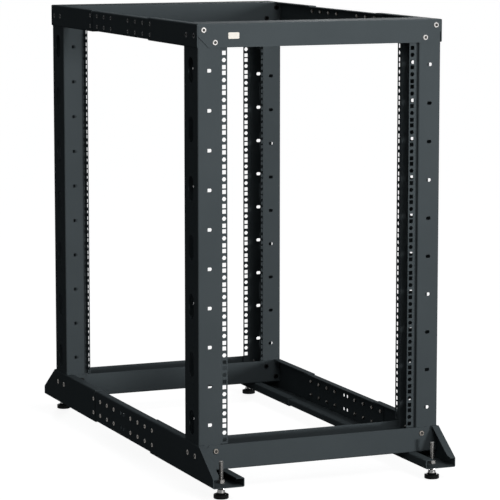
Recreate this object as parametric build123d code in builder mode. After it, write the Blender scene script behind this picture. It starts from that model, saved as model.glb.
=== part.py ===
"""A free-standing open equipment rack: two post frames joined by telescopic side beams, on levelling feet.

The origin is on the floor, below the middle of the rack. X runs to the right, Y to the rear and Z up.
All sizes are in millimetres.
"""

from build123d import *
import math
import os

# Standard rack spacing
UNIT = 44.45
UNITS = 20
HOLE_STEP = 15.875
RAIL_OPENING = 450.0
RAIL_MARGIN = 7.55
RAIL_HOLE = 9.5

# Overall sizes
FRAME_DEPTH = 1018.0
LOWEST_UNIT_Z = 136.5
SHEET = 2.0
BEND = 1.2

# Posts
POST_WIDTH = 74.5
POST_DEPTH = 86.0
STRIP_WIDTH = 20.0
STRIP_RECESS = 9.7
LIP_SETBACK = 18.5
LIP_REACH = 19.5
LIP_END_GAP = 3.0
OVAL_LENGTH = 11.5
OVAL_HEIGHT = 8.0
OVAL_UNITS = 2
CABLE_SLOT_LENGTH = 57.0
CABLE_SLOT_WIDTH = 30.0
CABLE_SLOT_CORNER = 9.0
CABLE_SLOT_UNITS = 3

# Cross beams
BEAM_END_GAP = 0.5
TOP_BEAM_HEIGHT = 53.0
TOP_BEAM_ABOVE = 81.5
BOTTOM_BEAM_HEIGHT = 58.0
BOTTOM_BEAM_BELOW = 24.1
BEAM_CHAMFER = 25.0

# Side beams
SIDE_FLANGE = 20.0
SIDE_JOINT = 198.0
SIDE_LAP = 24.0
SIDE_BEAM_DROP = 21.4
SIDE_BEAM_HEIGHT = 81.0
SIDE_BEAM_WIDTH = 75.5
LOW_WALL_LIP = 20.0
FOOT_REACH = 93.0
SLOPE_TOP_REACH = 5.0
SLOPE_FLANGE = 17.0
SLOPE_CLIP = 10.0
LINK_HOLE = 9.5
LINK_HOLES_APART = 20.0
LINK_ROWS_APART = 35.0
POST_SCREWS_APART = 46.5
FOOT_SCREW_DROP = 26.5
LAP_BOLTS_APART = 25.4
SEAT_RADIUS = 6.5
SEAT_DEPTH = 1.2

# Levelling feet
FOOT_INSET = 35.5
FOOT_OUT = 46.7
PAD_RADIUS = 17.25
PAD_HEIGHT = 13.0
PAD_RIM = 7.5
STUD_RADIUS = 5.0
STUD_TOP = 86.5
STUD_SEAT = 5.0
STUD_CLEARANCE = 0.3
COLLAR_RADIUS = 9.75
COLLAR_NECK = 7.5
COLLAR_HEIGHT = 8.0
NUT_FLATS = 16.0
NUT_HEIGHT = 8.0

# Places worked out from the sizes above
FRAME_WIDTH = RAIL_OPENING + 2 * POST_WIDTH
HALF_WIDTH = FRAME_WIDTH / 2
HALF_DEPTH = FRAME_DEPTH / 2
POST_BACK = HALF_DEPTH - POST_DEPTH
RAIL_EDGE_X = RAIL_OPENING / 2
RAIL_X = RAIL_EDGE_X + RAIL_MARGIN
FACE_X = RAIL_EDGE_X + STRIP_WIDTH
LIP_X = RAIL_EDGE_X + LIP_SETBACK
OVAL_X = (FACE_X + HALF_WIDTH) / 2
LIP_END = POST_BACK - LIP_REACH
HIGHEST_UNIT_Z = LOWEST_UNIT_Z + (UNITS - 1) * UNIT
TOP_BEAM_TOP = HIGHEST_UNIT_Z + TOP_BEAM_ABOVE
TOP_BEAM_BOTTOM = TOP_BEAM_TOP - TOP_BEAM_HEIGHT
BOTTOM_BEAM_TOP = LOWEST_UNIT_Z - BOTTOM_BEAM_BELOW
BOTTOM_BEAM_BOTTOM = BOTTOM_BEAM_TOP - BOTTOM_BEAM_HEIGHT
BEAM_OUTER_Y = HALF_DEPTH + SHEET
BEAM_INNER_Y = POST_BACK - SHEET
POST_BOTTOM = BOTTOM_BEAM_BOTTOM + SHEET + BEND
POST_TOP = TOP_BEAM_TOP - SHEET - BEND
SIDE_OUTER_X = HALF_WIDTH + SHEET
SIDE_INNER_X = SIDE_OUTER_X - SIDE_BEAM_WIDTH
SIDE_BOTTOM = BOTTOM_BEAM_BOTTOM - SIDE_BEAM_DROP
SIDE_TOP = SIDE_BOTTOM + SIDE_BEAM_HEIGHT
LOW_WALL_TOP = BOTTOM_BEAM_BOTTOM
BEAM_LENGTH = FRAME_WIDTH - 2 * BEAM_END_GAP
FOOT_X = HALF_WIDTH - FOOT_INSET
FOOT_Y = HALF_DEPTH + FOOT_OUT
FOOT_TIP = HALF_DEPTH + FOOT_REACH
SLOPE_TOP_Y = HALF_DEPTH + SLOPE_TOP_REACH
MIDDLE_END = SIDE_JOINT + SIDE_LAP
LAP_Y = SIDE_JOINT + SIDE_LAP / 2
POST_Y = HALF_DEPTH - POST_DEPTH / 2
TOP_BEAM_Z = (TOP_BEAM_BOTTOM + TOP_BEAM_TOP) / 2
SIDE_Z = (SIDE_BOTTOM + SIDE_TOP) / 2


def sheet_section(points):
    """Return a bent sheet's section; the points run along its outer surface, with the sheet on their left."""
    with BuildSketch() as section:
        with BuildLine():
            FilletPolyline(*points, radius=BEND + SHEET)
            offset(amount=SHEET, side=Side.LEFT, closed=True)
        make_face()
    return section.sketch


def clipped_rectangle(width, height, corner):
    """Return a rectangle with clipped corners."""
    with BuildSketch() as opening:
        Rectangle(width, height)
        chamfer(opening.vertices(), corner)
    return opening.sketch


def heights_every(units):
    """Return heights at the joints between units, so many units apart, from the lowest joint up."""
    first = LOWEST_UNIT_Z + UNIT / 2
    count = int((UNITS - 1) / units) + 1
    return [first + i * units * UNIT for i in range(count)]


def add_rail_holes(across):
    """Add one row of rack holes to the open sketch: a hexagon in the middle of each unit between two squares."""
    middles = [LOWEST_UNIT_Z + i * UNIT for i in range(UNITS)]
    with Locations(*[(across, z + step) for z in middles for step in (-HOLE_STEP, HOLE_STEP)]):
        Rectangle(RAIL_HOLE, RAIL_HOLE)
    with Locations(*[(across, z) for z in middles]):
        RegularPolygon(RAIL_HOLE / 2, 6, major_radius=False)


def make_post():
    """Bend the rear right post: a lip, an inner face, an outer side, a broad face and a recessed rail strip."""
    section = [
        (LIP_X, LIP_END), (LIP_X, POST_BACK), (HALF_WIDTH, POST_BACK), (HALF_WIDTH, HALF_DEPTH),
        (FACE_X, HALF_DEPTH), (FACE_X, HALF_DEPTH - STRIP_RECESS), (RAIL_EDGE_X, HALF_DEPTH - STRIP_RECESS),
    ]
    with BuildPart() as post:
        with BuildSketch(Plane.XY.offset(POST_BOTTOM)):
            add(sheet_section(section))
        extrude(amount=POST_TOP - POST_BOTTOM)
        with BuildSketch(Plane.XZ):
            add_rail_holes(RAIL_X)
            with Locations(*[(OVAL_X, z) for z in heights_every(OVAL_UNITS)]):
                add(clipped_rectangle(OVAL_LENGTH, OVAL_HEIGHT, OVAL_HEIGHT / 4))
        extrude(amount=-FRAME_DEPTH, mode=Mode.SUBTRACT)
        with BuildSketch(Plane.YZ.offset(LIP_X)):
            add_rail_holes(LIP_END + RAIL_MARGIN)
        extrude(amount=2 * SHEET, both=True, mode=Mode.SUBTRACT)
        with BuildSketch(Plane.YZ.offset(HALF_WIDTH)):
            with Locations(*[(POST_Y, z) for z in heights_every(CABLE_SLOT_UNITS)]):
                add(clipped_rectangle(CABLE_SLOT_WIDTH, CABLE_SLOT_LENGTH, CABLE_SLOT_CORNER))
        extrude(amount=2 * SHEET, both=True, mode=Mode.SUBTRACT)
        trim_lip(POST_BOTTOM, BOTTOM_BEAM_TOP + LIP_END_GAP)
        trim_lip(TOP_BEAM_BOTTOM - LIP_END_GAP, POST_TOP)
    return post.part


def trim_lip(low, high):
    """Cut the open post's lip away between two heights, where a cross beam's inner plate passes."""
    with Locations((LIP_X, LIP_END, (low + high) / 2)):
        Box(8 * SHEET, 2 * LIP_REACH, high - low, mode=Mode.SUBTRACT)


def make_cross_beam(closed, open_edge):
    """Bend one rear cross beam, a channel whose two plates lap over the posts, with clipped free corners."""
    section = [
        (BEAM_INNER_Y, open_edge), (BEAM_INNER_Y, closed), (BEAM_OUTER_Y, closed), (BEAM_OUTER_Y, open_edge),
    ]
    if closed > open_edge:
        section.reverse()
    with BuildPart() as beam:
        with BuildSketch(Plane.YZ.offset(-BEAM_LENGTH / 2)):
            add(sheet_section(section))
        extrude(amount=BEAM_LENGTH)
        with BuildSketch(Plane.XZ):
            with Locations((BEAM_LENGTH / 2, open_edge), (-BEAM_LENGTH / 2, open_edge)):
                Rectangle(BEAM_CHAMFER * math.sqrt(2), BEAM_CHAMFER * math.sqrt(2), rotation=45)
        extrude(amount=-FRAME_DEPTH, mode=Mode.SUBTRACT)
    return beam.part


def top_side_section(inset):
    """Return a right top side beam's section, a channel open to the inside of the rack."""
    outer = SIDE_OUTER_X - inset
    edge = SIDE_OUTER_X - SIDE_FLANGE
    low = TOP_BEAM_BOTTOM + inset
    high = TOP_BEAM_TOP - inset
    return sheet_section([(edge, low), (outer, low), (outer, high), (edge, high)])


def bottom_side_section(inset):
    """Return a right bottom side beam's section: lip, low inner wall, floor, outer wall and top flange."""
    outer = SIDE_OUTER_X - inset
    inner = SIDE_INNER_X + inset
    low = SIDE_BOTTOM + inset
    lip = BOTTOM_BEAM_BOTTOM - inset
    high = SIDE_TOP - inset
    return sheet_section([
        (SIDE_INNER_X + LOW_WALL_LIP, lip), (inner, lip), (inner, low), (outer, low), (outer, high),
        (SIDE_OUTER_X - SIDE_FLANGE, high),
    ])


def clear_post(low, high, tip):
    """Cut the open piece back to its outer wall where it passes the post, between two heights."""
    length = tip - BEAM_INNER_Y + SHEET
    with Locations((HALF_WIDTH - SIDE_BEAM_WIDTH / 2, tip - length / 2, (low + high) / 2)):
        Box(SIDE_BEAM_WIDTH, length, high - low, mode=Mode.SUBTRACT)


def sink_seats(screw_z, bolt_z, bolts_apart):
    """Sink round seats into the open piece's outer wall, for two screws at the post and two bolts at the lap."""
    places = [(POST_Y + step * POST_SCREWS_APART / 2, screw_z) for step in (-1, 1)]
    places += [(LAP_Y, bolt_z + step * bolts_apart / 2) for step in (-1, 1)]
    with BuildSketch(Plane.YZ.offset(SIDE_OUTER_X)) as seats:
        with Locations(*places):
            Circle(SEAT_RADIUS)
    extrude(seats.sketch, amount=-SEAT_DEPTH, mode=Mode.SUBTRACT)


def make_top_side_end():
    """Bend the rear right length of a top side beam."""
    tip = BEAM_OUTER_Y
    with BuildPart() as piece:
        with BuildSketch(Plane.XZ.offset(-SIDE_JOINT)):
            add(top_side_section(0))
        extrude(amount=SIDE_JOINT - tip)
        clear_post(TOP_BEAM_BOTTOM, TOP_BEAM_TOP, tip)
        sink_seats(TOP_BEAM_Z, TOP_BEAM_Z, LAP_BOLTS_APART)
    return piece.part


def make_top_side_middle():
    """Bend the right middle length of a top side beam, which slides inside the two end lengths."""
    with BuildPart() as piece:
        with BuildSketch(Plane.XZ):
            add(top_side_section(SHEET))
        extrude(amount=MIDDLE_END, both=True)
    return piece.part


def make_bottom_side_middle():
    """Bend the right middle length of a bottom side beam, with its four link holes."""
    with BuildPart() as piece:
        with BuildSketch(Plane.XZ):
            add(bottom_side_section(SHEET))
        extrude(amount=MIDDLE_END, both=True)
        with BuildSketch(Plane.YZ.offset(HALF_WIDTH)):
            with Locations((0, SIDE_Z)):
                with GridLocations(LINK_HOLES_APART, LINK_ROWS_APART, 2, 2):
                    Circle(LINK_HOLE / 2)
        extrude(amount=2 * SHEET, both=True, mode=Mode.SUBTRACT)
    return piece.part


def make_foot_beam():
    """Bend the rear right end length of a bottom side beam, with its sloped foot and the stud's hole."""
    with BuildPart() as piece:
        with BuildSketch(Plane.XZ.offset(-SIDE_JOINT)):
            add(bottom_side_section(0))
        extrude(amount=SIDE_JOINT - FOOT_TIP)
        clear_post(LOW_WALL_TOP, SIDE_TOP, FOOT_TIP)
        with BuildSketch(Plane.YZ):
            with BuildLine():
                Polyline(
                    (SLOPE_TOP_Y, SIDE_TOP), (FOOT_TIP, LOW_WALL_TOP), (FOOT_TIP, SIDE_TOP), close=True,
                )
            make_face()
        extrude(amount=FRAME_WIDTH, mode=Mode.SUBTRACT)
        extrude(slope_flange(), amount=SHEET)
        sink_seats(BOTTOM_BEAM_TOP - FOOT_SCREW_DROP, SIDE_Z, LINK_ROWS_APART)
        with Locations((FOOT_X, FOOT_Y, SIDE_BOTTOM)):
            Cylinder(STUD_RADIUS + STUD_CLEARANCE, 4 * SHEET, mode=Mode.SUBTRACT)
    return piece.part


def slope_flange():
    """Return the flange folded inward along the sloped edge, with its lower free corner clipped."""
    top = Vector(SIDE_OUTER_X, SLOPE_TOP_Y, SIDE_TOP)
    run = Vector(SIDE_OUTER_X, FOOT_TIP, LOW_WALL_TOP) - top
    length = run.length
    inward = Vector(-1, 0, 0)
    with BuildSketch(Plane(origin=top, x_dir=inward, z_dir=inward.cross(run))) as flange:
        with BuildLine():
            Polyline(
                (0, 0), (SLOPE_FLANGE, 0), (SLOPE_FLANGE, length - SLOPE_CLIP),
                (SLOPE_FLANGE - SLOPE_CLIP / 2, length), (0, length), close=True,
            )
        make_face()
    return flange.sketch


def make_pad():
    """Turn the black pad that stands on the floor, with the seat for the stud in its top."""
    seat = PAD_HEIGHT - STUD_SEAT
    with BuildPart() as pad:
        with BuildSketch(Plane.XZ):
            with BuildLine():
                Polyline(
                    (0, 0), (PAD_RADIUS, 0), (PAD_RADIUS, PAD_RIM), (COLLAR_RADIUS, PAD_HEIGHT),
                    (STUD_RADIUS, PAD_HEIGHT), (STUD_RADIUS, seat), (0, seat), close=True,
                )
            make_face()
        revolve(axis=Axis.Z)
    return pad.part


def make_stud():
    """Turn the threaded stud with the collar that bears on the pad."""
    seat = PAD_HEIGHT - STUD_SEAT
    collar_top = PAD_HEIGHT + COLLAR_HEIGHT
    with BuildPart() as stud:
        with BuildSketch(Plane.XZ):
            with BuildLine():
                Polyline(
                    (0, seat), (STUD_RADIUS, seat), (STUD_RADIUS, PAD_HEIGHT), (COLLAR_RADIUS, PAD_HEIGHT),
                    (COLLAR_NECK, collar_top), (STUD_RADIUS, collar_top), (STUD_RADIUS, STUD_TOP),
                    (0, STUD_TOP), close=True,
                )
            make_face()
        revolve(axis=Axis.Z)
    return stud.part


def make_lock_nut():
    """Make the hexagonal nut that sits on the foot's floor, round the stud."""
    with BuildPart() as nut:
        with BuildSketch(Plane.XY.offset(SIDE_BOTTOM + SHEET)):
            RegularPolygon(NUT_FLATS / 2, 6, major_radius=False)
            Circle(STUD_RADIUS + STUD_CLEARANCE, mode=Mode.SUBTRACT)
        extrude(amount=NUT_HEIGHT)
    return nut.part


def write(part, name):
    """Label one finished piece and write it to its own file."""
    part.label = name
    export_step(part, f"parts/{name}.step")


def write_both_ends(part, name):
    """Write the rear piece and its mirror image at the front."""
    write(part, f"rear_{name}")
    write(mirror(part, about=Plane.XZ), f"front_{name}")


def write_both_sides(part, name, write_side=write):
    """Write the right piece and its mirror image on the left."""
    write_side(part, f"right_{name}")
    write_side(mirror(part, about=Plane.YZ), f"left_{name}")


def main():
    """Make every piece of the rack and write it out."""
    os.makedirs("parts", exist_ok=True)
    write_both_sides(make_post(), "post", write_both_ends)
    write_both_sides(make_foot_beam(), "foot_beam", write_both_ends)
    write_both_sides(make_top_side_end(), "top_side_beam", write_both_ends)
    write_both_sides(make_top_side_middle(), "top_middle_beam")
    write_both_sides(make_bottom_side_middle(), "bottom_middle_beam")
    write_both_ends(make_cross_beam(TOP_BEAM_TOP, TOP_BEAM_BOTTOM), "top_beam")
    write_both_ends(make_cross_beam(BOTTOM_BEAM_BOTTOM, BOTTOM_BEAM_TOP), "bottom_beam")
    foot = Location((FOOT_X, FOOT_Y, 0))
    write_both_sides(make_pad().moved(foot), "pad", write_both_ends)
    write_both_sides(make_stud().moved(foot), "stud", write_both_ends)
    write_both_sides(make_lock_nut().moved(foot), "lock_nut", write_both_ends)


main()
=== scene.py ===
"""Looks of the open equipment rack: dark powder-coated sheet steel, plated screws and studs, black pads.

Lengths are in metres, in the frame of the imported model.
"""

import math

import bmesh
import bpy
from mathutils import Matrix, Vector


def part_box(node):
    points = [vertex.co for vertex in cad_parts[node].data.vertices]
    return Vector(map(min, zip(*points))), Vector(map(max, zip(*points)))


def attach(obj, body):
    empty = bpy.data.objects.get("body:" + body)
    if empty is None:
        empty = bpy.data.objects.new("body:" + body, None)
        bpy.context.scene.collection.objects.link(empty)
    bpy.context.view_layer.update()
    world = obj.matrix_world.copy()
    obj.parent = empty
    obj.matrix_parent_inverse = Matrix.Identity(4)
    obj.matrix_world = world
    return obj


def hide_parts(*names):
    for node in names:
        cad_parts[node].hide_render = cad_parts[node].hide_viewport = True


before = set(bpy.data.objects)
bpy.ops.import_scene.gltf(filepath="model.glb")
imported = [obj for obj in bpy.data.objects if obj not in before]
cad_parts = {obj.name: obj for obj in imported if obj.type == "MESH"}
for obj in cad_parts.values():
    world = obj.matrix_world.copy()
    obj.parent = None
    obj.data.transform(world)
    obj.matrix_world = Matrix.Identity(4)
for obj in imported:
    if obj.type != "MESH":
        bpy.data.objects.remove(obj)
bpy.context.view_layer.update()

MM = 0.001
scene = bpy.context.scene

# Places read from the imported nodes
OUTER_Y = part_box("rear_top_beam")[1].y
INNER_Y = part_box("rear_top_beam")[0].y
RACK_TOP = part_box("rear_top_beam")[1].z
BOTTOM_BEAM_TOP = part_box("rear_bottom_beam")[1].z
POST_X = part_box("rear_right_post")[1].x
POST_BACK_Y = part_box("rear_right_post")[1].y
SIDE_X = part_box("rear_right_top_side_beam")[1].x

# Thickness of the sheet
SHEET = 2 * MM

# Directions of the ends along Y and of the sides along X
ENDS = {"front": -1, "rear": 1}
SIDES = {"left": -1, "right": 1}

# Finishes: where the noise's clouds begin and end, and how strongly its grain shows as relief
CLOUD_START = 0.3
CLOUD_END = 0.7
CLOUD_DETAIL = 3
GRAIN_DETAIL = 2
RELIEF_STRENGTH = 0.5

# Scales of the clouds and of the grain in one metre, and the depth of the relief
COAT_GRAIN = (9, 1400)
METAL_GRAIN = (160, 2500)
RUBBER_GRAIN = (60, 900)
PLASTIC_GRAIN = (80, 1500)
COAT_BUMP = 0.03 * MM
FINE_BUMP = 0.01 * MM
RUBBER_BUMP = 0.06 * MM

# Shares of mirror light and of metal; the coat has next to no mirror light
COAT_SPECULAR = 0.00003
STEEL_METALLIC = 0.9
DARK_METALLIC = 0.2


def new_group(name, inputs, outputs):
    """Start a shader node group; inputs and outputs are name and socket type pairs."""
    group = bpy.data.node_groups.new(name, "ShaderNodeTree")
    for socket, kind in inputs:
        group.interface.new_socket(name=socket, in_out="INPUT", socket_type=kind)
    for socket, kind in outputs:
        group.interface.new_socket(name=socket, in_out="OUTPUT", socket_type=kind)
    return group, group.nodes.new("NodeGroupInput"), group.nodes.new("NodeGroupOutput")


def noise(tree, vector, scale, detail):
    """Add a noise texture, with its scale from a socket, and return its value socket."""
    node = tree.nodes.new("ShaderNodeTexNoise")
    node.inputs["Detail"].default_value = detail
    tree.links.new(scale, node.inputs["Scale"])
    tree.links.new(vector, node.inputs["Vector"])
    return node.outputs["Fac"]


def remap(tree, value, low, high, out_low, out_high):
    """Add a clamped map range, with its ends as numbers or sockets, and return its result socket."""
    node = tree.nodes.new("ShaderNodeMapRange")
    for socket, number in zip(("From Min", "From Max"), (low, high)):
        node.inputs[socket].default_value = number
    for socket, number in zip(("To Min", "To Max"), (out_low, out_high)):
        if hasattr(number, "links"):
            tree.links.new(number, node.inputs[socket])
        else:
            node.inputs[socket].default_value = number
    tree.links.new(value, node.inputs["Value"])
    return node.outputs["Result"]


def make_grain_group():
    """Make the fine grain of every finish: soft clouds for tone and gloss, and fine bumps."""
    group, given, result = new_group(
        "SurfaceGrain",
        [("Vector", "NodeSocketVector"), ("Cloud Scale", "NodeSocketFloat"),
         ("Grain Scale", "NodeSocketFloat"), ("Duller", "NodeSocketFloat"), ("Glossier", "NodeSocketFloat")],
        [("Tone", "NodeSocketFloat"), ("Roughness", "NodeSocketFloat"), ("Height", "NodeSocketFloat")],
    )
    clouds = noise(group, given.outputs["Vector"], given.outputs["Cloud Scale"], CLOUD_DETAIL)
    grain = noise(group, given.outputs["Vector"], given.outputs["Grain Scale"], GRAIN_DETAIL)
    tone = remap(group, clouds, CLOUD_START, CLOUD_END, 0, 1)
    gloss = given.outputs["Glossier"], given.outputs["Duller"]
    roughness = remap(group, clouds, CLOUD_START, CLOUD_END, *gloss)
    group.links.new(tone, result.inputs["Tone"])
    group.links.new(roughness, result.inputs["Roughness"])
    group.links.new(grain, result.inputs["Height"])
    return group


def finish_material(name, dark, light, grain, duller, glossier, bump, metallic=0.0, specular=0.5):
    """Make a material from two tones of its colour, its grain's scales, two roughnesses and its relief."""
    material = bpy.data.materials.new(name)
    material.use_nodes = True
    tree = material.node_tree
    surface = tree.nodes["Principled BSDF"]
    surface.inputs["Metallic"].default_value = metallic
    surface.inputs["Specular IOR Level"].default_value = specular
    group = tree.nodes.new("ShaderNodeGroup")
    group.node_tree = GRAIN
    group.inputs["Cloud Scale"].default_value = grain[0]
    group.inputs["Grain Scale"].default_value = grain[1]
    group.inputs["Duller"].default_value = duller
    group.inputs["Glossier"].default_value = glossier
    coordinates = tree.nodes.new("ShaderNodeTexCoord")
    tree.links.new(coordinates.outputs["Object"], group.inputs["Vector"])
    tones = tree.nodes.new("ShaderNodeMix")
    tones.data_type = "RGBA"
    tones.inputs["A"].default_value = (*dark, 1)
    tones.inputs["B"].default_value = (*light, 1)
    tree.links.new(group.outputs["Tone"], tones.inputs["Factor"])
    tree.links.new(tones.outputs["Result"], surface.inputs["Base Color"])
    tree.links.new(group.outputs["Roughness"], surface.inputs["Roughness"])
    relief = tree.nodes.new("ShaderNodeBump")
    relief.inputs["Strength"].default_value = RELIEF_STRENGTH
    relief.inputs["Distance"].default_value = bump
    tree.links.new(group.outputs["Height"], relief.inputs["Height"])
    tree.links.new(relief.outputs["Normal"], surface.inputs["Normal"])
    return material


def linear(red, green, blue):
    """Turn display values from 0 to 255 into linear colour, by the standard sRGB curve."""
    values = [channel / 255 for channel in (red, green, blue)]
    return [v / 12.92 if v <= 0.04045 else ((v + 0.055) / 1.055) ** 2.4 for v in values]


GRAIN = make_grain_group()
powder_coat = finish_material(
    "powder_coat", linear(77, 84, 87), linear(80, 87, 90), COAT_GRAIN,
    duller=0.6, glossier=0.5, bump=COAT_BUMP, specular=COAT_SPECULAR)
plated_steel = finish_material(
    "plated_steel", linear(112, 111, 109), linear(134, 132, 130), METAL_GRAIN,
    duller=0.54, glossier=0.44, bump=FINE_BUMP, metallic=STEEL_METALLIC)
# A lighter copy of the plated steel for the top corner screws: painted light
plated_steel_painted_light = finish_material(
    "plated_steel_painted_light", linear(140, 138, 136), linear(160, 158, 156), METAL_GRAIN,
    duller=0.54, glossier=0.44, bump=FINE_BUMP, metallic=STEEL_METALLIC)
stud_steel = finish_material(
    "stud_steel", linear(126, 124, 122), linear(144, 142, 140), METAL_GRAIN,
    duller=0.3, glossier=0.2, bump=FINE_BUMP, metallic=STEEL_METALLIC)
dull_steel = finish_material(
    "dull_steel", linear(98, 94, 90), linear(124, 119, 113), METAL_GRAIN,
    duller=0.4, glossier=0.28, bump=FINE_BUMP, metallic=STEEL_METALLIC)
# Darker steel on the floors of the screw heads' sockets: painted shade in the recess
socket_painted_shade = finish_material(
    "socket_painted_shade", linear(62, 60, 58), linear(76, 74, 72), METAL_GRAIN,
    duller=0.6, glossier=0.5, bump=FINE_BUMP, metallic=DARK_METALLIC, specular=0.05)
dark_steel = finish_material(
    "dark_steel", linear(20, 22, 23), linear(32, 33, 34), METAL_GRAIN,
    duller=0.5, glossier=0.35, bump=FINE_BUMP, metallic=DARK_METALLIC, specular=0.1)
deep_shade = finish_material(
    "deep_shade", linear(3, 3, 3), linear(6, 6, 6), METAL_GRAIN,
    duller=0.9, glossier=0.8, bump=FINE_BUMP, specular=0)
pad_rubber = finish_material(
    "pad_rubber", linear(17, 18, 18), linear(26, 27, 27), RUBBER_GRAIN,
    duller=0.7, glossier=0.55, bump=RUBBER_BUMP, specular=0.06)
pale_plastic = finish_material(
    "pale_plastic", linear(232, 226, 214), linear(240, 235, 225), PLASTIC_GRAIN,
    duller=0.5, glossier=0.4, bump=FINE_BUMP)


# Small pieces: the steps of a full turn, and how near two vertices count as one
HEAD_STEPS = 24
TIP_STEPS = 20
COLLAR_STEPS = 32
PAD_STEPS = 48
NUT_STEPS = 48
SAME_PLACE = 0.001 * MM
SAME_RADIUS = 0.01 * MM

# A screw head's form, as shares of its radius and height
SOCKET_FLOOR = 0.35
CROWN_REACH = 0.82
SHOULDER_REACH = 0.96
SHOULDER_LEVEL = 0.7

# Where a screw head takes its second colour, the painted shade on the floor of its socket
SHADE_REACH = 0.5
SHADE_LOW = 0.1
SHADE_HIGH = 0.99

# The form of a nut with a bolt's end in it, as shares of their radii and of the nut's height
END_LEVEL = 1.35
END_REACH = 0.8
END_SHOULDER = 1.2
END_START = 1.01
NUT_CROWN = 0.95
NUT_SHOULDER = 0.85

# The chamfer of a screw's end, as a share of its radius
TIP_CHAMFER = 0.25


def turn(bm, profile, steps, ring=False):
    """Turn a profile of radius and height pairs into a closed solid.

    The profile starts and ends on the Z axis, or it stands clear of it and closes on itself as a ring.
    """
    points = [bm.verts.new((radius, 0, height)) for radius, height in profile]
    following = points[1:] + points[:1] if ring else points[1:]
    edges = [bm.edges.new(pair) for pair in zip(points, following)]
    bmesh.ops.spin(
        bm, geom=points + edges, cent=(0, 0, 0), axis=(0, 0, 1), angle=2 * math.pi, steps=steps,
        use_merge=True)
    bmesh.ops.remove_doubles(bm, verts=bm.verts, dist=SAME_PLACE)
    bmesh.ops.recalc_face_normals(bm, faces=bm.faces)


def hexagon_reach(vertex, flats):
    """Return how far a hexagon with that size across its flats reaches in the vertex's direction."""
    sixth = math.pi / 3
    turned = math.atan2(vertex.co.y, vertex.co.x) % sixth - sixth / 2
    return flats / 2 / math.cos(turned)


def make_hexagonal(bm, radius, flats):
    """Push the vertices that lie at one radius out to a hexagon."""
    for vertex in bm.verts:
        distance = math.hypot(vertex.co.x, vertex.co.y)
        if abs(distance - radius) < SAME_RADIUS:
            reach = hexagon_reach(vertex, flats) / distance
            vertex.co.x *= reach
            vertex.co.y *= reach


def socket_head(bm, radius, height, flats):
    """Make a low round screw head with a hexagonal socket; its foot is at the origin and it points up Z."""
    socket = flats / 2
    floor = height * SOCKET_FLOOR
    turn(bm, [
        (0, floor), (socket, floor), (socket, height), (radius * CROWN_REACH, height),
        (radius * SHOULDER_REACH, height * SHOULDER_LEVEL), (radius, floor), (radius, 0), (0, 0),
    ], HEAD_STEPS)
    make_hexagonal(bm, socket, flats)
    # The socket's floor takes the second material, which paints the recess's shade
    for face in bm.faces:
        middle = face.calc_center_median()
        sunk = SHADE_LOW * height < middle.z < SHADE_HIGH * height
        if sunk and math.hypot(middle.x, middle.y) < radius * SHADE_REACH:
            face.material_index = 1


def bolt_end(bm, flats, height, thread):
    """Make a nut with a bolt's end standing out of it; its foot is at the origin and it points up Z."""
    nut_radius = flats / 2
    end = height * END_LEVEL
    turn(bm, [
        (0, end), (thread * END_REACH, end), (thread, height * END_SHOULDER), (thread, height),
        (nut_radius * NUT_CROWN, height), (nut_radius, height * NUT_SHOULDER), (nut_radius, 0), (0, 0),
    ], HEAD_STEPS)
    make_hexagonal(bm, nut_radius, flats)
    for face in bm.faces:
        if face.calc_center_median().z > height * END_START:
            face.material_index = 1


def screw_tip(bm, radius, length):
    """Make a screw's end with a chamfer; its foot is at the origin and it points up Z."""
    chamfer = radius * TIP_CHAMFER
    turn(bm, [
        (0, length), (radius - chamfer, length), (radius, length - chamfer), (radius, 0), (0, 0),
    ], TIP_STEPS)


def facing(place, direction):
    """Return the matrix that puts a small piece's foot at a place, pointing in a direction."""
    return Matrix.Translation(place) @ Vector(direction).to_track_quat("Z", "Y").to_matrix().to_4x4()


def copies(places, make, *sizes):
    """Return a bmesh with a small piece copied to each place."""
    single = bmesh.new()
    make(single, *sizes)
    pattern = bpy.data.meshes.new("pattern")
    single.to_mesh(pattern)
    single.free()
    joined = bmesh.new()
    for place in places:
        joined.verts.ensure_lookup_table()
        before = len(joined.verts)
        joined.from_mesh(pattern)
        joined.verts.ensure_lookup_table()
        bmesh.ops.transform(joined, matrix=place, verts=joined.verts[before:])
    bpy.data.meshes.remove(pattern)
    return joined


def add_piece(bm, name, materials, body="frame"):
    """Make a finished piece from a bmesh, and let it ride on a body."""
    mesh = bpy.data.meshes.new(name)
    bm.to_mesh(mesh)
    bm.free()
    for material in materials:
        mesh.materials.append(material)
    piece = bpy.data.objects.new(name, mesh)
    scene.collection.objects.link(piece)
    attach(piece, body)
    return piece


# Finishes of a screw head, and the painted shade on its socket's floor
PAINTED_LIGHT_HEAD = (plated_steel_painted_light, socket_painted_shade)
DULL_HEAD = (dull_steel, socket_painted_shade)
DARK_HEAD = (dark_steel, deep_shade)

# Screws in the cross beams' corners: distance from the middle, and distance below the beam's top
TOP_CORNER_SCREWS = ((286.2 * MM, 13.5 * MM), (259 * MM, 41.5 * MM))
BOTTOM_CORNER_SCREWS = ((258.6 * MM, 14.4 * MM), (286.5 * MM, 43.4 * MM))
SCREW_RADIUS = 6.4 * MM
SCREW_HEIGHT = 2.6 * MM
SOCKET_FLATS = 6.8 * MM
TIP_RADIUS = 3.2 * MM
TIP_LENGTH = 4.5 * MM


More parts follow.
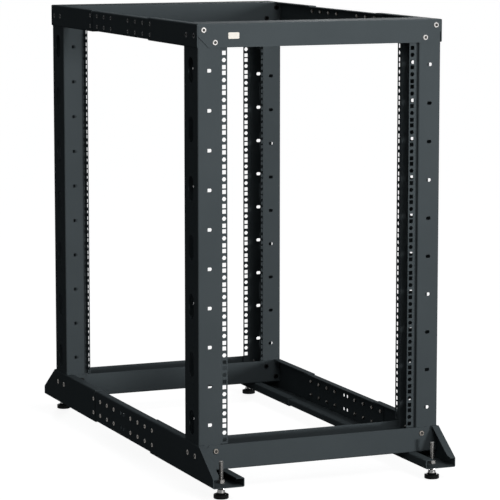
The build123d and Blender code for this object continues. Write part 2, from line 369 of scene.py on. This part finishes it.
def add_corner_screws():
    """Add the screws that join each cross beam's two plates to the posts, and their ends inside the beam."""
    levels = (
        ("top", RACK_TOP, TOP_CORNER_SCREWS, PAINTED_LIGHT_HEAD),
        ("bottom", BOTTOM_BEAM_TOP, BOTTOM_CORNER_SCREWS, DULL_HEAD),
    )
    for end, rearward in ENDS.items():
        for level, beam_top, screws, finish in levels:
            outer, inner, through = [], [], []
            for sideways in SIDES.values():
                for across, below in screws:
                    x, z = across * sideways, beam_top - below
                    outer.append(facing((x, OUTER_Y * rearward, z), (0, rearward, 0)))
                    inner.append(facing((x, INNER_Y * rearward, z), (0, -rearward, 0)))
                    through.append(facing((x, (OUTER_Y - SHEET) * rearward, z), (0, -rearward, 0)))
                    through.append(facing((x, (INNER_Y + SHEET) * rearward, z), (0, rearward, 0)))
            heads = copies(outer, socket_head, SCREW_RADIUS, SCREW_HEIGHT, SOCKET_FLATS)
            add_piece(heads, f"{end}_{level}_beam_screws", finish)
            inner_heads = copies(inner, socket_head, SCREW_RADIUS, SCREW_HEIGHT, SOCKET_FLATS)
            add_piece(inner_heads, f"{end}_{level}_beam_inner_screws", DARK_HEAD)
            tips = copies(through, screw_tip, TIP_RADIUS, TIP_LENGTH)
            add_piece(tips, f"{end}_{level}_beam_screw_tips", (plated_steel,))


# Bolts of the telescopic side beams: columns from the middle, and rows as heights above the floor
BOLT_COLUMNS = (60 * MM, 110 * MM, 160 * MM, 210 * MM)
TOP_BOLT_ROWS = (RACK_TOP - 13.8 * MM, RACK_TOP - 39.2 * MM)
BOTTOM_BOLT_ROWS = (91 * MM, 56 * MM)
BOLT_RADIUS = 5 * MM
BOLT_HEIGHT = 1.8 * MM
BOLT_SOCKET = 5 * MM
NUT_FLATS = 8 * MM
NUT_HEIGHT = 3.6 * MM
BOLT_THREAD = 2.2 * MM

# Screws that hold the side beams to the posts, sunk in their seats
POST_SCREWS = (POST_BACK_Y - 66.25 * MM, POST_BACK_Y - 19.75 * MM)
SIDE_SCREW_ROWS = {"top": RACK_TOP - 26.5 * MM, "bottom": BOTTOM_BEAM_TOP - 26.5 * MM}
SEAT_DEPTH = 1.2 * MM
SEATED_HEIGHT = 1.1 * MM
POST_SCREW_RADIUS = SCREW_RADIUS * 0.95


def add_side_bolts():
    """Add the screws of the side beams, and the bolts of their sliding lengths with the nuts inside."""
    levels = (("top", TOP_BOLT_ROWS, DARK_HEAD), ("bottom", BOTTOM_BOLT_ROWS, DULL_HEAD))
    for side, sideways in SIDES.items():
        for level, rows, finish in levels:
            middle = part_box(f"{side}_{level}_middle_beam")
            plate_x = max(abs(middle[0].x), abs(middle[1].x))
            seat_x = SIDE_X - SEAT_DEPTH
            heads, nuts, seated, screws = [], [], [], []
            for rearward in ENDS.values():
                for z in rows:
                    for column in BOLT_COLUMNS:
                        y = column * rearward
                        if column < BOLT_COLUMNS[-1]:
                            heads.append(facing((plate_x * sideways, y, z), (sideways, 0, 0)))
                        else:
                            seated.append(facing((seat_x * sideways, y, z), (sideways, 0, 0)))
                        nuts.append(facing(((plate_x - SHEET) * sideways, y, z), (-sideways, 0, 0)))
                for y in POST_SCREWS:
                    place = (seat_x * sideways, y * rearward, SIDE_SCREW_ROWS[level])
                    screws.append(facing(place, (sideways, 0, 0)))
            add_piece(
                copies(heads, socket_head, BOLT_RADIUS, BOLT_HEIGHT, BOLT_SOCKET),
                f"{side}_{level}_slide_bolts", finish)
            add_piece(
                copies(seated, socket_head, BOLT_RADIUS, SEATED_HEIGHT, BOLT_SOCKET),
                f"{side}_{level}_lap_bolts", finish)
            add_piece(
                copies(nuts, bolt_end, NUT_FLATS, NUT_HEIGHT, BOLT_THREAD),
                f"{side}_{level}_slide_nuts", (dull_steel, plated_steel))
            add_piece(
                copies(screws, socket_head, POST_SCREW_RADIUS, SEATED_HEIGHT, SOCKET_FLATS),
                f"{side}_{level}_post_screws", finish)


# Plain plate on the front top beam, scaled from a square that reaches half a metre each way
HALF_METRE = 0.5
PLATE_CENTRE = (-214 * MM, RACK_TOP - 27 * MM)
PLATE_SIZE = (26.5 * MM, 14.4 * MM)
PLATE_THICKNESS = 0.8 * MM
PLATE_CORNER = 2.4 * MM
PLATE_CORNER_STEPS = 5
PLATE_SOFT = 0.3 * MM
PLATE_SOFT_STEPS = 2
ROUND_PROFILE = 0.5


def add_blank_plate():
    """Add the small pale plate, left blank, with rounded corners and a softened rim."""
    bm = bmesh.new()
    bmesh.ops.create_grid(bm, x_segments=1, y_segments=1, size=HALF_METRE)
    bmesh.ops.scale(bm, vec=(*PLATE_SIZE, 1), verts=bm.verts)
    bmesh.ops.bevel(
        bm, geom=list(bm.verts), offset=PLATE_CORNER, segments=PLATE_CORNER_STEPS, profile=ROUND_PROFILE,
        affect="VERTICES", material=-1)
    base = list(bm.faces)
    raised = bmesh.ops.extrude_face_region(bm, geom=base, use_keep_orig=True)
    top = [item for item in raised["geom"] if isinstance(item, bmesh.types.BMVert)]
    bmesh.ops.translate(bm, vec=(0, 0, PLATE_THICKNESS), verts=top)
    rim = [edge for edge in bm.edges if all(vertex in top for vertex in edge.verts)]
    bmesh.ops.bevel(
        bm, geom=rim, offset=PLATE_SOFT, segments=PLATE_SOFT_STEPS, profile=ROUND_PROFILE,
        affect="EDGES", material=-1)
    bmesh.ops.recalc_face_normals(bm, faces=bm.faces)
    place = Matrix.Translation((PLATE_CENTRE[0], -OUTER_Y, PLATE_CENTRE[1]))
    bmesh.ops.transform(bm, matrix=place @ Matrix.Rotation(math.pi / 2, 4, "X"), verts=bm.verts)
    add_piece(bm, "blank_plate", (pale_plastic,))


# Small fixing holes above and below each cable slot, shown as low rings in the coat's colour
SLOT_COUNT = 7
SLOT_STEP = 133.35 * MM
LOWEST_SLOT_Z = 158.725 * MM
FIXING_RISE = 41.5 * MM
FIXING_Y = (POST_BACK_Y - 32 * MM, POST_BACK_Y - 55 * MM)
FIXING_RADIUS = 3.2 * MM
FIXING_HEIGHT = 0.35 * MM
FIXING_BORE = FIXING_RADIUS * 1.75


def add_fixing_holes():
    """Add the small holes that stand in pairs above and below each post's cable slots."""
    slots = [LOWEST_SLOT_Z + number * SLOT_STEP for number in range(SLOT_COUNT)]
    heights = [slot + rise for slot in slots for rise in (-FIXING_RISE, FIXING_RISE)]
    for end, rearward in ENDS.items():
        for side, sideways in SIDES.items():
            places = [
                facing((POST_X * sideways, y * rearward, z), (sideways, 0, 0))
                for z in heights for y in FIXING_Y
            ]
            holes = copies(places, socket_head, FIXING_RADIUS, FIXING_HEIGHT, FIXING_BORE)
            add_piece(holes, f"{end}_{side}_fixing_holes", (powder_coat,))


# Threaded studs: the crest lies between two shares of the pitch, and the tip has a share of the width
THREAD_PITCH = 1.5 * MM
THREAD_DEPTH = 0.75 * MM
THREAD_CREST = (0.42, 0.58)
THREAD_STEPS = 24
SPARE_TURNS = 3
STUD_RADIUS = 5 * MM
STUD_CHAMFER = 1 * MM
STUD_TIP_SHARE = 0.8

# Moulded pads with their bead, and the collars of the studs
PAD_SOFT = 1.5 * MM
PAD_ROUND = PAD_SOFT * 0.3
PAD_RIM = 10.2 * MM
BEAD_FOOT = 1.2 * MM
BEAD_RISE = 0.8 * MM
BEAD_SIDE = 0.8 * MM
BEAD_DROP = 0.4 * MM
BEAD_CROWN = 0.3 * MM
COLLAR_HEIGHT = 8 * MM
COLLAR_NECK = 7.5 * MM
COLLAR_SOFT = 0.6 * MM

# Chamfered lock nuts
NUT_BORE_CHAMFER = 1 * MM
NUT_BORE_DROP = 0.8 * MM
NUT_FACE_SHARE = 0.98
NUT_CORNER_SHARE = 0.55


def cut_flat(bm, height, upward):
    """Cut a helical surface off flat at a height, and close the cut."""
    cut = bmesh.ops.bisect_plane(
        bm, geom=list(bm.verts) + list(bm.edges) + list(bm.faces), plane_co=(0, 0, height),
        plane_no=(0, 0, upward), clear_outer=True)
    rim = [item for item in cut["geom_cut"] if isinstance(item, bmesh.types.BMEdge)]
    return bmesh.ops.contextual_create(bm, geom=rim)["faces"]


def threaded_rod(bm, low, high):
    """Make a rod with a helical thread between two heights, with a chamfered upper end."""
    turns = int((high - low) / THREAD_PITCH) + SPARE_TURNS
    points = []
    for turn_number in range(turns):
        base = low - THREAD_PITCH + turn_number * THREAD_PITCH
        points.append(bm.verts.new((STUD_RADIUS - THREAD_DEPTH, 0, base)))
        for lift in THREAD_CREST:
            points.append(bm.verts.new((STUD_RADIUS, 0, base + lift * THREAD_PITCH)))
    edges = [bm.edges.new(pair) for pair in zip(points, points[1:])]
    step = (0, 0, THREAD_PITCH / THREAD_STEPS)
    bmesh.ops.spin(
        bm, geom=points + edges, cent=(0, 0, 0), axis=(0, 0, 1), dvec=step,
        angle=2 * math.pi, steps=THREAD_STEPS, use_merge=False)
    bmesh.ops.remove_doubles(bm, verts=bm.verts, dist=SAME_PLACE)
    cut_flat(bm, low, -1)
    end = cut_flat(bm, high - STUD_CHAMFER, 1)
    tip = bmesh.ops.extrude_face_region(bm, geom=end)
    rim = [item for item in tip["geom"] if isinstance(item, bmesh.types.BMVert)]
    bmesh.ops.delete(bm, geom=end, context="FACES_ONLY")
    bmesh.ops.translate(bm, vec=(0, 0, STUD_CHAMFER), verts=rim)
    bmesh.ops.scale(bm, vec=(STUD_TIP_SHARE, STUD_TIP_SHARE, 1), verts=rim)
    bmesh.ops.recalc_face_normals(bm, faces=bm.faces)


def collar(bm, low, high, wide, narrow):
    """Make the tapered collar that bears on the pad, with softened edges."""
    turn(bm, [
        (0, low), (wide - COLLAR_SOFT, low), (wide, low + COLLAR_SOFT),
        (narrow + COLLAR_SOFT, high - COLLAR_SOFT), (narrow, high), (0, high),
    ], COLLAR_STEPS)


def moulded_pad(bm, radius, high, collar_radius):
    """Make the pad that stands on the floor, with a rolled rim and a raised bead round the collar."""
    turn(bm, [
        (0, 0), (radius - PAD_SOFT, 0), (radius - PAD_ROUND, PAD_ROUND), (radius, PAD_SOFT),
        (radius, PAD_RIM - PAD_SOFT), (radius - PAD_ROUND, PAD_RIM - PAD_ROUND), (radius - PAD_SOFT, PAD_RIM),
        (collar_radius + BEAD_FOOT, PAD_RIM + BEAD_RISE), (collar_radius + BEAD_SIDE, high - BEAD_DROP),
        (collar_radius + BEAD_CROWN, high), (0, high),
    ], PAD_STEPS)


def lock_nut(bm, low, high, flats):
    """Make a hexagonal nut with its corners chamfered above and below."""
    radius = flats / 2
    face = radius * NUT_FACE_SHARE
    bore = STUD_RADIUS - THREAD_DEPTH
    mouth = bore + NUT_BORE_CHAMFER
    levels = [
        (face, low), (radius, low), (radius, high), (face, high),
        (mouth, high), (bore, high - NUT_BORE_DROP), (bore, low + NUT_BORE_DROP), (mouth, low),
    ]
    turn(bm, levels, NUT_STEPS, ring=True)
    for vertex in bm.verts:
        if abs(math.hypot(vertex.co.x, vertex.co.y) - radius) < SAME_RADIUS:
            reach = hexagon_reach(vertex, flats)
            corner = (reach - radius) * NUT_CORNER_SHARE
            vertex.co.z += corner if vertex.co.z < (low + high) / 2 else -corner
            vertex.co.x *= reach / radius
            vertex.co.y *= reach / radius
    bmesh.ops.recalc_face_normals(bm, faces=bm.faces)


def add_moulded_pad(corner, centre, collar_radius):
    """Replace a foot's plain pad by the moulded one."""
    low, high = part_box(f"{corner}_pad")
    pad = bmesh.new()
    moulded_pad(pad, (high.x - low.x) / 2, high.z, collar_radius)
    bmesh.ops.transform(pad, matrix=centre, verts=pad.verts)
    piece = add_piece(pad, f"{corner}_moulded_pad", (pad_rubber,), f"{corner}_foot")
    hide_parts(f"{corner}_pad")


def add_threaded_stud(corner, centre, collar_radius):
    """Replace a foot's plain stud by a threaded rod with a collar."""
    low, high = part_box(f"{corner}_stud")
    pad_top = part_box(f"{corner}_pad")[1].z
    rod = bmesh.new()
    threaded_rod(rod, low.z, high.z)
    bearing = bmesh.new()
    collar(bearing, pad_top, pad_top + COLLAR_HEIGHT, collar_radius, COLLAR_NECK)
    joined = bpy.data.meshes.new("joined")
    bearing.to_mesh(joined)
    bearing.free()
    rod.from_mesh(joined)
    bpy.data.meshes.remove(joined)
    bmesh.ops.transform(rod, matrix=centre, verts=rod.verts)
    stud = add_piece(rod, f"{corner}_threaded_stud", (stud_steel,), f"{corner}_foot")
    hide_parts(f"{corner}_stud")


def add_chamfered_nut(corner, centre):
    """Replace a foot's plain lock nut by the chamfered one."""
    low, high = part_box(f"{corner}_lock_nut")
    nut = bmesh.new()
    lock_nut(nut, low.z, high.z, min(high.x - low.x, high.y - low.y))
    bmesh.ops.transform(nut, matrix=centre, verts=nut.verts)
    piece = add_piece(nut, f"{corner}_chamfered_nut", (plated_steel,))
    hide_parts(f"{corner}_lock_nut")


def add_feet():
    """Replace the plain pieces of the four levelling feet."""
    for end in ENDS:
        for side in SIDES:
            corner = f"{end}_{side}"
            low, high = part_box(f"{corner}_stud")
            centre = Matrix.Translation(((low.x + high.x) / 2, (low.y + high.y) / 2, 0))
            collar_radius = (high.x - low.x) / 2
            add_moulded_pad(corner, centre, collar_radius)
            add_threaded_stud(corner, centre, collar_radius)
            add_chamfered_nut(corner, centre)


def dress_nodes():
    """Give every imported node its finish, by the end of its name."""
    finishes = {"pad": pad_rubber, "stud": plated_steel, "lock_nut": plated_steel}
    for name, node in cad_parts.items():
        material = next((look for kind, look in finishes.items() if name.endswith(kind)), powder_coat)
        for index in range(len(node.material_slots)):
            node.material_slots[index].material = material
        if not node.material_slots:
            node.data.materials.append(material)


# Studio: the floor's light of its own, and its tone in the picture and in the light that it gives back
FLOOR_LIFT = 0.91
FLOOR_SEEN = 0.42
FLOOR_BOUNCE = 0.12
FLOOR_REACH = 60

# The even fill's colour, and its strength as light and as seen
FILL_COLOUR = (0.93, 0.97, 1, 1)
FILL_STRENGTH = 0.12
FILL_SEEN = 1

# Suns: their width in radians, the direction that they shine from, and their strength
SUN_ANGLE = 0.2
KEY_SUN = ((0.34, -0.94, 0.02), 2.05)
REAR_SUN = ((0.45, 0.88, 0.1), 2.4)

# Lamps: place, side and watts
LAMP_TARGET = Vector((0, 0, 0.6))
UPPER_LAMP = ((0.1, -1.9, 1.25), 0.8, 9)
BETWEEN_LAMP = ((0.2, -0.45, 2.3), 0.8, 7)

# The camera that was solved on the photograph: its lens in millimetres, its place, and its turn in radians
SENSOR_WIDTH = 36
LENS = 188.73
FARTHEST_SEEN = 200
CAMERA_PLACE = (-2.4139, -5.9039, 1.3683)
CAMERA_DIP = 0.1387
CAMERA_TURN = -0.3935


def ray_is_background(tree):
    """Return a socket that is 1 for the rays that meet a white background: camera, mirror and glass rays."""
    path = tree.nodes.new("ShaderNodeLightPath")
    chosen = path.outputs["Is Camera Ray"]
    for kind in ("Is Glossy Ray", "Is Transmission Ray"):
        larger = tree.nodes.new("ShaderNodeMath")
        larger.operation = "MAXIMUM"
        tree.links.new(chosen, larger.inputs[0])
        tree.links.new(path.outputs[kind], larger.inputs[1])
        chosen = larger.outputs["Value"]
    return chosen


def add_floor():
    """Add a wide white floor that still takes the rack's shadow."""
    bm = bmesh.new()
    bmesh.ops.create_grid(bm, x_segments=1, y_segments=1, size=FLOOR_REACH)
    mesh = bpy.data.meshes.new("floor")
    bm.to_mesh(mesh)
    bm.free()
    floor = bpy.data.objects.new("floor", mesh)
    scene.collection.objects.link(floor)
    material = bpy.data.materials.new("floor")
    material.use_nodes = True
    tree = material.node_tree
    surface = tree.nodes["Principled BSDF"]
    chosen = ray_is_background(tree)
    tree.links.new(remap(tree, chosen, 0, 1, FLOOR_BOUNCE, FLOOR_SEEN), surface.inputs["Base Color"])
    surface.inputs["Roughness"].default_value = 1
    surface.inputs["Specular IOR Level"].default_value = 0
    surface.inputs["Emission Color"].default_value = (1, 1, 1, 1)
    lift = tree.nodes.new("ShaderNodeMath")
    lift.operation = "MULTIPLY"
    lift.inputs[1].default_value = FLOOR_LIFT
    tree.links.new(chosen, lift.inputs[0])
    tree.links.new(lift.outputs["Value"], surface.inputs["Emission Strength"])
    mesh.materials.append(material)


def add_lamp(name, place, size, watts):
    """Add a square soft lamp that faces the rack's middle."""
    lamp = bpy.data.objects.new(name, bpy.data.lights.new(name, "AREA"))
    lamp.data.size = size
    lamp.data.energy = watts
    lamp.location = place
    lamp.rotation_euler = (Vector(place) - LAMP_TARGET).to_track_quat("Z", "Y").to_euler()
    scene.collection.objects.link(lamp)


def add_sun(name, direction, strength):
    """Add a soft sun that shines from a direction."""
    sun = bpy.data.objects.new(name, bpy.data.lights.new(name, "SUN"))
    sun.data.energy = strength
    sun.data.angle = SUN_ANGLE
    sun.rotation_euler = Vector(direction).to_track_quat("Z", "Y").to_euler()
    scene.collection.objects.link(sun)


def light_studio():
    """Add low suns at the front right and the rear, lamps in front and above, and a dim even fill."""
    add_sun("key", *KEY_SUN)
    add_sun("rear", *REAR_SUN)
    add_lamp("upper", *UPPER_LAMP)
    add_lamp("between", *BETWEEN_LAMP)
    world = bpy.data.worlds.new("studio")
    scene.world = world
    world.use_nodes = True
    tree = world.node_tree
    background = tree.nodes["Background"]
    background.inputs["Color"].default_value = FILL_COLOUR
    strength = remap(tree, ray_is_background(tree), 0, 1, FILL_STRENGTH, FILL_SEEN)
    tree.links.new(strength, background.inputs["Strength"])


def add_camera():
    """Set the camera where the photograph was taken from."""
    data = bpy.data.cameras.new("camera")
    data.sensor_width = SENSOR_WIDTH
    data.lens = LENS
    data.clip_end = FARTHEST_SEEN
    camera = bpy.data.objects.new("camera", data)
    camera.location = CAMERA_PLACE
    camera.rotation_euler = (math.pi / 2 - CAMERA_DIP, 0, CAMERA_TURN)
    scene.collection.objects.link(camera)
    scene.camera = camera


scene.view_settings.view_transform = "Standard"
add_camera()
light_studio()
add_floor()
dress_nodes()
add_corner_screws()
add_side_bolts()
add_blank_plate()
add_fixing_holes()
add_feet()
